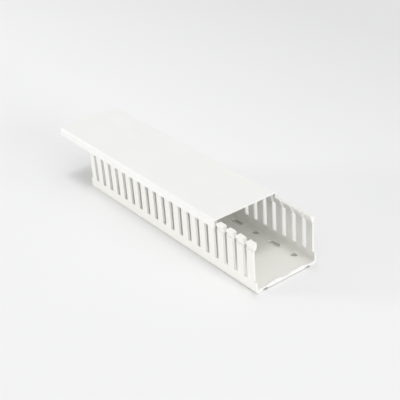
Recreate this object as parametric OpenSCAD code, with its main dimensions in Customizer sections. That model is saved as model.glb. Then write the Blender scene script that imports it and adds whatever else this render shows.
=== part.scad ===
// Slotted panel trunking: an open-fingered base with a clip-over lid drawn partly back.
// Millimetres, +X along the run towards the open end, +Z up, Z = 0 on the floor.

/* [Run] */
// Length of the slotted base
run_length = 250; // [150:25:500]
// Length of the lid
lid_length = 250; // [150:25:500]
// How far the lid is drawn back from flush
lid_drawn_back = 50; // [0:12.5:100]

/* [Section] */
// Width over the two walls
base_width = 66; // [45:1:120]
// Height from the floor to the top of the lid
overall_height = 48; // [35:1:90]
// Thickness of the walls
wall_t = 1.8; // [1.4:0.1:2.2]
// Thickness of the floor
floor_t = 2.6; // [1.8:0.1:3]
// Height of the two feet under the floor
foot_h = 0.4; // [0.3:0.1:1]
// Width of each foot
foot_w = 7.5; // [6:0.5:12]
// Width of the groove in the underside beside each foot
relief_w = 4.5; // [3:0.5:6]
// Depth of that groove into the floor
relief_d = 1; // [0.5:0.1:1.2]
// Radius of the outer bottom edges
bottom_r = 2; // [0.5:0.1:2.2]
// Radius of the inner floor corners
floor_fillet = 1; // [0.4:0.1:2]

/* [Fingers] */
// Spacing of the fingers along the run
pitch = 12.5; // [12.5:0.5:25]
// Width of the slot between two fingers
slot_w = 5; // [4.5:0.1:6]
// Height of the slot bottoms above the floor
slot_bottom = 10.5; // [7:0.5:16]
// Radius of the slot bottom corners
slot_r = 1; // [0.3:0.1:2]
// Gap between the heads of two fingers
head_gap = 3.4; // [1:0.1:4]
// Height over which a slot narrows to the gap between the heads
neck_h = 3.4; // [2.8:0.1:4]
// Radius of the upper corners of the heads
head_r = 2.6; // [1:0.1:3]

/* [Heads] */
// Depth of the groove under the head that the lid clips into
groove_d = 0.9; // [0.8:0.1:1.2]
// How far the head's ridge stands inwards past the wall
head_in = 2.4; // [1.5:0.1:3]
// How far the head's inner face draws back on its way down
head_taper = 1; // [0:0.1:1.2]
// Height of the head above the groove
head_h = 4; // [3.5:0.1:4.5]
// Slope of the head's top, falling outwards, in degrees
head_slope = 18; // [0:1:21]
// Radius of the outer top edge of the head
nose_r = 1.2; // [0.8:0.1:1.6]

/* [Lid] */
// Thickness of the lid top
lid_t = 1.5; // [1.2:0.1:2.5]
// Thickness of the lid lips
lip_t = 1.2; // [1:0.1:2]
// Depth of the lips below the lid top
lip_h = 8.1; // [7.9:0.1:8.5]
// How far the clip bead stands in from the lip
bead_d = 0.6; // [0.4:0.05:0.65]
// Radius of the outer lid edges
lid_r = 1.8; // [1:0.1:2]
// Running clearance between the lid and the heads
clearance = 0.3; // [0.3:0.05:0.4]

/* [Fixing holes] */
// Spacing of the holes along the run
hole_pitch = 25; // [25:12.5:50]
// Distance between the two rows
hole_rows = 50; // [24:1:54]
// Width of all the holes
hole_w = 5; // [4:0.1:6.5]
// Length of the long holes
long_hole = 13; // [9:0.5:16]
// Length of the short holes
short_hole = 6.5; // [6.5:0.1:8]

/* [Hidden] */
$fn = 48;
over = 1;
half_w = base_width / 2;
inner_w = half_w - wall_t;
floor_top = foot_h + floor_t;
total_length = max(run_length, lid_drawn_back + lid_length);
base_end = total_length / 2;
lid_end = base_end - lid_drawn_back;
fingers = floor(run_length / pitch + 0.01);

// heights of the head, counted down from the underside of the lid top
head_top = overall_height - lid_t - clearance;
groove_top = head_top - head_h;
lip_low = overall_height - lip_h;
shoulder_z = lip_low - clearance;
shoulder_fall = 0.4;
nose_rise = 0.7;
head_lift = 0.8;
head_low = shoulder_z + head_lift;
head_fall = 1.1;

// sideways stations of the head and the lid lip
groove_y = half_w - groove_d;
nose_y = half_w - clearance;
head_y = inner_w - head_in;
ridge_r = 0.6;
bead_y = half_w - bead_d;
bead_lead = 0.3;
bead_h = 1.5;
lip_out = half_w + lip_t;

// neck of a slot: two equal arcs in an S, turning by neck_turn each
neck_drop = 2.2;
neck_z = shoulder_z - neck_drop;
neck_step = (slot_w - head_gap) / 2;
neck_turn = 2 * atan(neck_step / neck_h);
neck_r = neck_h / (2 * sin(neck_turn));
arc_steps = 6;
white = [0.95, 0.94, 0.91];

// waste left outside a rounding, corner at the origin, body towards -x -y
module corner_waste(r) {
  difference() {
    translate([-r, -r])
      square([r + over, r + over]);
    translate([-r, -r])
      circle(r);
  }
}

// fillet filling an inside corner at the origin, hollow towards +x +y
module corner_fill(r) {
  sink = 0.2;
  difference() {
    translate([-sink, -sink])
      square([r + sink, r + sink]);
    translate([r, r])
      circle(r);
  }
}

module both_sides() {
  for (side = [0, 1])
    mirror([side, 0])
      children();
}

// one wall and half the floor as a flat section, wall on the +x side
module half_section() {
  difference() {
    union() {
      translate([-over, foot_h])
        square([half_w, floor_t]);
      translate([half_w - foot_w, 0])
        square([foot_w, floor_top]);
      translate([inner_w, 0])
        square([wall_t, shoulder_z - shoulder_fall]);
      head_section();
      translate([inner_w, floor_top])
        mirror([1, 0])
          corner_fill(floor_fillet);
    }
    translate([half_w - foot_w - relief_w, -over])
      square([relief_w, over + foot_h + relief_d]);
    translate([half_w, 0])
      mirror([0, 1])
        corner_waste(bottom_r);
  }
}

// points along an arc, the first one left out
function arc(centre, r, from, to) =
  [for (i = [1 : arc_steps])
    let (a = from + (to - from) * i / arc_steps)
    centre + r * [cos(a), sin(a)]];

// shoulder, clip groove and thickened head on top of a wall, highest along its inner ridge
module head_section() {
  up = [sin(head_slope), cos(head_slope)];
  ridge = [head_y + ridge_r, head_top - ridge_r];
  nose_in = nose_y - nose_r;
  nose_z = (up * ridge + ridge_r - nose_r - nose_in * up.x) / up.y;
  polygon(concat(
    [
      [inner_w, shoulder_z - 2 * shoulder_fall],
      [half_w, shoulder_z - shoulder_fall],
      [groove_y, shoulder_z],
      [groove_y, groove_top],
      [nose_y, groove_top + nose_rise],
      [nose_y, nose_z]
    ],
    arc([nose_in, nose_z], nose_r, 0, 90 - head_slope),
    [ridge + ridge_r * up],
    arc(ridge, ridge_r, 90 - head_slope, 180),
    [
      [head_y + head_taper, head_low],
      [inner_w, head_low - head_fall]
    ]
  ));
}

// right edge of the S-shaped narrowing, upwards from neck_z
function neck_edge() = concat(
  [[slot_w / 2, neck_z]],
  arc([slot_w / 2 - neck_r, neck_z], neck_r, 0, neck_turn),
  arc([head_gap / 2 + neck_r, neck_z + neck_h], neck_r, 180 + neck_turn, 180),
  [[head_gap / 2, head_top + over]]
);

// flat shape of one slot, centred on x = 0
module slot_shape() {
  difference() {
    translate([-slot_w / 2, slot_bottom])
      square([slot_w, neck_z - slot_bottom]);
    both_sides()
      translate([slot_w / 2, slot_bottom])
        mirror([0, 1])
          corner_waste(slot_r);
  }
  right = neck_edge();
  left = [for (i = [len(right) - 1 : -1 : 0]) [-right[i].x, right[i].y]];
  polygon(concat(right, left));
  both_sides()
    translate([head_gap / 2, head_top])
      mirror([1, 0])
        corner_waste(head_r);
}

// lays a flat section out along the run, ending at x = run_end
module along_run(run_end, length) {
  translate([run_end - length, 0, 0])
    rotate([90, 0, 90])
      linear_extrude(height = length)
        children();
}

module obround(length) {
  straight = length - hole_w;
  for (end = [-1, 1])
    translate([end * straight / 2, 0, -over])
      cylinder(d = hole_w, h = floor_top + 2 * over);
  translate([-straight / 2, -hole_w / 2, -over])
    cube([straight, hole_w, floor_top + 2 * over]);
}

// two rows of fixing holes, short and long by turns from the open end
module fixing_holes() {
  first = base_end - 1.5 * pitch;
  last = base_end - run_length + 2 * pitch;
  count = floor((first - last) / hole_pitch) + 1;
  for (i = [0 : count - 1])
    for (row = [-1, 1])
      translate([first - i * hole_pitch, row * hole_rows / 2, 0])
        obround(i % 2 == 0 ? short_hole : long_hole);
}

module base() {
  color(white)
    difference() {
      along_run(base_end, run_length)
        both_sides()
          half_section();
      for (i = [0 : fingers])
        translate([base_end - i * pitch, 0, 0])
          rotate([90, 0, 0])
            linear_extrude(height = base_width + 2 * over, center = true)
              slot_shape();
      fixing_holes();
    }
}

// lip of the lid with its clip bead, on the +x side
module lip_section() {
  translate([half_w, lip_low])
    square([lip_t, lip_h]);
  polygon([
    [half_w, lip_low],
    [half_w, groove_top + bead_lead],
    [bead_y, lip_low + bead_h],
    [bead_y, lip_low + 2 * bead_lead],
    [bead_y + bead_lead, lip_low]
  ]);
}

module lid() {
  color(white)
    along_run(lid_end, lid_length)
      difference() {
        union() {
          translate([-lip_out, overall_height - lid_t])
            square([2 * lip_out, lid_t]);
          both_sides()
            lip_section();
        }
        both_sides()
          translate([lip_out, overall_height])
            corner_waste(lid_r);
      }
}

base();
lid();
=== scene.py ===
# %% [markdown]
# # A length of slotted panel trunking
#
# The object is white cable trunking for the inside of a control panel: a channel whose two walls are
# punched into fingers, and a lid that clips over the finger heads and slides along the run. Both pieces
# come in as exact solids, so this lesson is about the camera, the white plastic, its edges, a small saw
# burr and the studio. Lengths are in metres, X runs along the trunking and Z is up.

# %% Load the solids and keep their box
import math

import bmesh
import bpy
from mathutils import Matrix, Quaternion, Vector, noise


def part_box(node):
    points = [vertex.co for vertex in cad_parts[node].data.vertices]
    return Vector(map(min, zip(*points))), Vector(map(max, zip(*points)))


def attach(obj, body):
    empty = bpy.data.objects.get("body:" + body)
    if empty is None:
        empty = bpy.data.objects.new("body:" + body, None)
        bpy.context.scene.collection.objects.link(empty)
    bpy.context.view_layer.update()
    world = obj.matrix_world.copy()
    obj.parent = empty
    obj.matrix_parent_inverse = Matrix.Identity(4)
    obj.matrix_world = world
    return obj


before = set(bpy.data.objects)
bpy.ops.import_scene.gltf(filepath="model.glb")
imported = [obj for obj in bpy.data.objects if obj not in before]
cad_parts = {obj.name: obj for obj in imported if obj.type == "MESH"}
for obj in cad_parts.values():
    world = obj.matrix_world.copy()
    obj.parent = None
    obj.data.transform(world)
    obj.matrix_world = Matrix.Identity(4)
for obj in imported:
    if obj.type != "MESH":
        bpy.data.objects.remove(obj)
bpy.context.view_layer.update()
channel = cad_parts["base"]
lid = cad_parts["lid"]
scene = bpy.context.scene
scene.view_settings.view_transform = "Standard"

# %% [markdown]
# ## The camera
#
# The photo was taken from beyond the open end, looking down along the run. A camera could be placed by eye,
# but twenty equal fingers make a good ruler, so its place, aim and lens were solved from their spacing. The
# lens is long, so the far end shrinks only a little, and the camera leans by a few degrees.

# %% Camera at the open end
camera_place = Vector((0.61816, -0.41557, 0.43073))
camera_aim = Vector((0.02538, 0.00711, 0.02000))
camera_lean = math.radians(-4.155)
camera_data = bpy.data.cameras.new("camera")
camera_data.sensor_width = 36.0
camera_data.lens = 82.52
camera_data.clip_end = 60.0
camera = bpy.data.objects.new("camera", camera_data)
scene.collection.objects.link(camera)
looking = (camera_aim - camera_place).to_track_quat("-Z", "Y")
camera.rotation_mode = "QUATERNION"
camera.rotation_quaternion = looking @ Quaternion((0.0, 0.0, 1.0), camera_lean)
camera.location = camera_place
scene.camera = camera
print("camera", round((camera_aim - camera_place).length, 3), "m from its aim")

# %% [markdown]
# ## Small helpers for shader nodes
#
# A procedural material is a little machine of nodes. Wiring each node by hand hides the idea, so four
# helpers keep each finish readable: one adds a node and fills its sockets, one stretches a noise, one
# turns a value into a range, and one blends two values or two colours.

# %% Node helpers
def add_node(tree, kind, **sockets):
    node = tree.nodes.new(kind)
    for name, value in sockets.items():
        node.inputs[name.replace("_", " ")].default_value = value
    return node


def stretched_noise(tree, scale_xyz, detail):
    place = tree.nodes.new("ShaderNodeTexCoord")
    stretch = add_node(tree, "ShaderNodeMapping", Scale=scale_xyz)
    grain = add_node(tree, "ShaderNodeTexNoise", Scale=1.0, Detail=detail, Roughness=0.55)
    tree.links.new(place.outputs["Object"], stretch.inputs["Vector"])
    tree.links.new(stretch.outputs["Vector"], grain.inputs["Vector"])
    return grain.outputs["Fac"]


def spread(tree, value, low, high, first=0.3, last=0.7):
    ends = {"From_Min": first, "From_Max": last, "To_Min": low, "To_Max": high}
    ranged = add_node(tree, "ShaderNodeMapRange", **ends)
    tree.links.new(value, ranged.inputs["Value"])
    return ranged.outputs["Result"]


def blend(tree, factor, first, second, kind="FLOAT"):
    mix = tree.nodes.new("ShaderNodeMix")
    mix.data_type = kind
    tree.links.new(factor, mix.inputs["Factor"])
    for socket, value in (("A", first), ("B", second)):
        if isinstance(value, bpy.types.NodeSocket):
            tree.links.new(value, mix.inputs[socket])
        else:
            mix.inputs[socket].default_value = value
    return mix.outputs["Result"]


print("four node helpers are ready")

# %% [markdown]
# ## Sawn and punched faces
#
# The ends of the trunking are sawn and its slots are punched, and a fresh cut through the plastic has lost
# its skin: it is whiter, duller and finely marked. Such faces could be painted one by one, but they all
# look along the run, so a mask on the X part of the face's own direction finds them by itself.

# %% Mask of the cut faces
cut_from = 0.90
cut_full = 0.97


def cut_mask(tree):
    facing = tree.nodes.new("ShaderNodeNewGeometry")
    axes = tree.nodes.new("ShaderNodeSeparateXYZ")
    along = tree.nodes.new("ShaderNodeMath")
    along.operation = "ABSOLUTE"
    tree.links.new(facing.outputs["True Normal"], axes.inputs["Vector"])
    tree.links.new(axes.outputs["X"], along.inputs[0])
    return spread(tree, along.outputs["Value"], 0.0, 1.0, cut_from, cut_full)


print("a face is cut when its X part passes", cut_from)

# %% [markdown]
# ## White PVC
#
# Trunking is extruded: the hot plastic is pulled through a die, which leaves very faint lines along the
# run. A picture could hold such marks, but noises need no file and fit every face by themselves. One noise
# stretched along X gives the die lines, a broad soft noise gives the slight unevenness of the white, and a
# fine noise marks the cut faces. They move the colour, the gloss and a very shallow bump by so little that
# the plastic still reads as one warm white.

# %% Extruded white plastic
pvc_ior = 1.53
die_line_scale = (5.0, 900.0, 900.0)
cloud_scale = (18.0, 42.0, 42.0)
saw_mark_scale = (300.0, 260.0, 2600.0)
relief_depth = 0.00006
relief_strength = 0.35
sheen_swing = (-0.05, 0.06)
dull_swing = (0.12, 0.30)
fresh_cut = (0.900, 0.898, 0.880, 1)


def extruded_white(name, light_tone, dark_tone, roughness):
    finish = bpy.data.materials.new(name)
    finish.use_nodes = True
    tree = finish.node_tree
    tree.nodes.clear()
    out = tree.nodes.new("ShaderNodeOutputMaterial")
    plastic = add_node(tree, "ShaderNodeBsdfPrincipled", IOR=pvc_ior)
    tree.links.new(plastic.outputs["BSDF"], out.inputs["Surface"])

    die_lines = stretched_noise(tree, die_line_scale, detail=3.0)
    clouds = stretched_noise(tree, cloud_scale, detail=2.0)
    saw_marks = stretched_noise(tree, saw_mark_scale, detail=2.0)
    cut_face = cut_mask(tree)

    skin_tone = blend(tree, spread(tree, clouds, 0.0, 1.0), dark_tone, light_tone, "RGBA")
    tone = blend(tree, cut_face, skin_tone, fresh_cut, "RGBA")
    tree.links.new(tone, plastic.inputs["Base Color"])

    sheen = spread(tree, die_lines, roughness + sheen_swing[0], roughness + sheen_swing[1])
    dull = spread(tree, saw_marks, roughness + dull_swing[0], roughness + dull_swing[1])
    tree.links.new(blend(tree, cut_face, sheen, dull), plastic.inputs["Roughness"])

    bump = add_node(tree, "ShaderNodeBump", Strength=relief_strength, Distance=relief_depth)
    tree.links.new(blend(tree, cut_face, die_lines, saw_marks), bump.inputs["Height"])
    tree.links.new(bump.outputs["Normal"], plastic.inputs["Normal"])
    return finish


def dress(piece, finish):
    piece.data.materials.clear()
    piece.data.materials.append(finish)
    print(piece.name, "wears", finish.name)


# %% [markdown]
# ## Two whites
#
# Channel and lid are extruded separately, and their whites differ a little: the channel is warmer and the
# lid is cleaner. One white for both would lose the line between them, so each piece gets its own pair of
# tones.

# %% Dress the channel and the lid
channel_light = (0.815, 0.808, 0.765, 1)
channel_dark = (0.795, 0.788, 0.745, 1)
lid_light = (0.845, 0.845, 0.822, 1)
lid_dark = (0.828, 0.828, 0.805, 1)
dress(channel, extruded_white("channel_white", channel_light, channel_dark, roughness=0.42))
dress(lid, extruded_white("lid_white", lid_light, lid_dark, roughness=0.40))

# %% [markdown]
# ## Broken edges
#
# No extruded or punched edge is perfectly sharp, and the thin bright line along an edge is what makes
# plastic look real. The solids arrive as triangles, so their doubled points are welded first and a very
# narrow bevel then breaks each real corner. Modifiers do this without touching the mesh itself.

# %% Weld and break the edges
weld_distance = 0.000002
sharp_corner = math.radians(38)


def break_edges(piece, width):
    weld = piece.modifiers.new("weld", "WELD")
    weld.merge_threshold = weld_distance
    bevel = piece.modifiers.new("broken_edge", "BEVEL")
    bevel.width = width
    bevel.segments = 2
    bevel.limit_method = "ANGLE"
    bevel.angle_limit = sharp_corner
    shown = piece.evaluated_get(bpy.context.evaluated_depsgraph_get())
    print(piece.name, "has", len(shown.data.polygons), "faces with its edges broken")


break_edges(channel, width=0.00018)
break_edges(lid, width=0.00020)

# %% [markdown]
# ## The saw burr
#
# The channel was sawn to length, and the saw smeared a little plastic over the edge of its floor: two low
# white ridges show at the open end. A burr could be painted on with bump, but it changes the outline of
# the cut, so it is a small mesh. Each ridge is a row of triangular sections that swell and die away along
# the cut, and a noise makes its crest uneven in the same way on every run.

# %% Section of a ridge
burr_height = 0.0012
burr_width = 0.0012
burr_root = 0.00025
burr_taper = 0.98
burr_ripple = 900.0
ridge_apart = 300.0
ripple_seed = 0.5
crest_mean = 0.85
crest_swing = 0.4
lean_mean = 0.35
lean_swing = 0.2
floor_top = 0.0030
cut_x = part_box("base")[1][0]


def ridge_section(middle, half_length, share):
    along = 2.0 * share - 1.0
    y = middle + along * half_length
    swell = math.sqrt(1.0 - burr_taper * along * along)
    uneven = noise.noise(Vector((burr_ripple * y, ridge_apart * middle, ripple_seed)))
    wide = burr_width * swell
    tall = burr_height * swell * (crest_mean + crest_swing * uneven)
    lean = wide * (lean_mean + lean_swing * uneven)
    front = (cut_x, y, floor_top - burr_root)
    back = (cut_x - wide, y, floor_top - burr_root)
    crest = (cut_x - lean, y, floor_top + tall)
    return (front, back, crest)


print("the sawn end is at X", round(cut_x, 4))

# %% Two ridges along the sawn edge of the floor
# each ridge by the Y of its middle and its half length
burr_ridges = ((-0.0120, 0.0085), (0.0125, 0.0100))
burr_steps = 36


def burr_mesh():
    shape = bmesh.new()
    for middle, half_length in burr_ridges:
        rings = []
        for step in range(burr_steps + 1):
            section = ridge_section(middle, half_length, step / burr_steps)
            rings.append([shape.verts.new(point) for point in section])
        for ring, following in zip(rings, rings[1:]):
            for corner in range(3):
                after = (corner + 1) % 3
                shape.faces.new((ring[corner], ring[after], following[after], following[corner]))
        shape.faces.new(rings[0])
        shape.faces.new(rings[-1])
    bmesh.ops.recalc_face_normals(shape, faces=shape.faces)
    data = bpy.data.meshes.new("saw_burr")
    shape.to_mesh(data)
    shape.free()
    return data


burr = bpy.data.objects.new("saw_burr", burr_mesh())
scene.collection.objects.link(burr)
smeared_light = (0.915, 0.913, 0.895, 1)
smeared_dark = (0.885, 0.883, 0.865, 1)
dress(burr, extruded_white("smeared_white", smeared_light, smeared_dark, roughness=0.48))
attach(burr, "channel")
print("burr of", len(burr_ridges), "ridges,", len(burr.data.polygons), "faces")

# %% [markdown]
# ## The paper
#
# The part lies on pale paper that darkens a little behind it, and this darkening is painted shade. The
# shade could come from the lamps, but then the part would darken with it, so it is painted into the paper's
# own colour: two close whites in broad soft clouds, and a slow painted shade along Y to a slightly darker
# one.

# %% Pale paper
paper_reach = 14.0
paper_dark = (0.845, 0.846, 0.849, 1)
paper_light = (0.860, 0.861, 0.864, 1)
# painted shade: the colour the paper darkens to behind the part
paper_painted_shade = (0.730, 0.731, 0.734, 1)
paper_cloud_scale = (3.0, 3.0, 3.0)
# where along Y the painted shade on the paper begins and where it is full
painted_shade_start = 0.10
painted_shade_end = 0.50


def paper_with_painted_shade():
    finish = bpy.data.materials.new("pale_paper_painted_shade")
    finish.use_nodes = True
    tree = finish.node_tree
    face = tree.nodes["Principled BSDF"]
    face.inputs["Roughness"].default_value = 0.9
    face.inputs["Specular IOR Level"].default_value = 0.1
    place = tree.nodes.new("ShaderNodeTexCoord")
    axes = tree.nodes.new("ShaderNodeSeparateXYZ")
    tree.links.new(place.outputs["Object"], axes.inputs["Vector"])
    clouds = stretched_noise(tree, paper_cloud_scale, detail=1.0)
    tone = blend(tree, clouds, paper_dark, paper_light, "RGBA")
    # painted shade: the paper darkens slowly along Y behind the part
    painted_shade = spread(tree, axes.outputs["Y"], 0.0, 1.0, painted_shade_start, painted_shade_end)
    tree.links.new(blend(tree, painted_shade, tone, paper_painted_shade, "RGBA"), face.inputs["Base Color"])
    return finish


floor_corners = [(-1, -1), (1, -1), (1, 1), (-1, 1)]
floor_points = [(x * paper_reach, y * paper_reach, 0.0) for x, y in floor_corners]
floor_data = bpy.data.meshes.new("floor")
floor_data.from_pydata(floor_points, [], [(0, 1, 2, 3)])
floor = bpy.data.objects.new("floor", floor_data)
scene.collection.objects.link(floor)
dress(floor, paper_with_painted_shade())

# %% [markdown]
# ## The tent
#
# The photo is high key, with soft light from all round. A plain white world would light the part as much
# from the side as from above, so the world is a tent that is dim at its foot and bright at its top. Only
# the light follows this change: the camera and the reflections see one plain pale backdrop.

# %% Tent of soft light
tent_foot = 0.28
tent_top = 0.98
backdrop = 0.9

sky = bpy.data.worlds.new("tent")
sky.use_nodes = True
sky_tree = sky.node_tree
sky_light = sky_tree.nodes["Background"]
sky_light.inputs["Color"].default_value = (1.0, 1.0, 1.0, 1)
sky_place = sky_tree.nodes.new("ShaderNodeTexCoord")
sky_axes = sky_tree.nodes.new("ShaderNodeSeparateXYZ")
sky_tree.links.new(sky_place.outputs["Generated"], sky_axes.inputs["Vector"])
sky_glow = spread(sky_tree, sky_axes.outputs["Z"], tent_foot, tent_top, 0.0, 1.0)
sky_path = sky_tree.nodes.new("ShaderNodeLightPath")
sky_seen = sky_tree.nodes.new("ShaderNodeMath")
sky_seen.operation = "MAXIMUM"
sky_tree.links.new(sky_path.outputs["Is Camera Ray"], sky_seen.inputs[0])
sky_tree.links.new(sky_path.outputs["Is Glossy Ray"], sky_seen.inputs[1])
sky_strength = blend(sky_tree, sky_seen.outputs["Value"], sky_glow, backdrop)
sky_tree.links.new(sky_strength, sky_light.inputs["Strength"])
scene.world = sky
print("tent from", tent_foot, "at its foot to", tent_top, "at its top")

# %% [markdown]
# ## Three lamps
#
# The near wall and the sawn end are as bright as the lid, so two lamps stand low, where they add little to
# the paper. One shines slantwise on the near wall from the far end, and it is kept out of reflections so
# that the lid has no glare. The other faces the open end. The third hangs overhead, a little towards the
# far end, so the part has a narrow soft shadow along its near side. Suns are used, because their light is
# the same all along the run. Under them a colour shows about as it is written.

# %% Soft suns
def soft_sun(name, towards, energy, softness):
    lamp_data = bpy.data.lights.new(name, "SUN")
    lamp_data.energy = energy
    lamp_data.angle = math.radians(softness)
    lamp = bpy.data.objects.new(name, lamp_data)
    scene.collection.objects.link(lamp)
    lamp.rotation_mode = "QUATERNION"
    lamp.rotation_quaternion = (-Vector(towards)).to_track_quat("-Z", "Y")
    print(name, "lamp", energy)
    return lamp


near_side = soft_sun("near_side", towards=(-0.72, -0.68, 0.08), energy=2.0, softness=14)
near_side.visible_glossy = False
soft_sun("open_end", towards=(0.98, 0.10, 0.15), energy=1.35, softness=30)
soft_sun("overhead", towards=(-0.20, 0.10, 0.97), energy=0.6, softness=16)
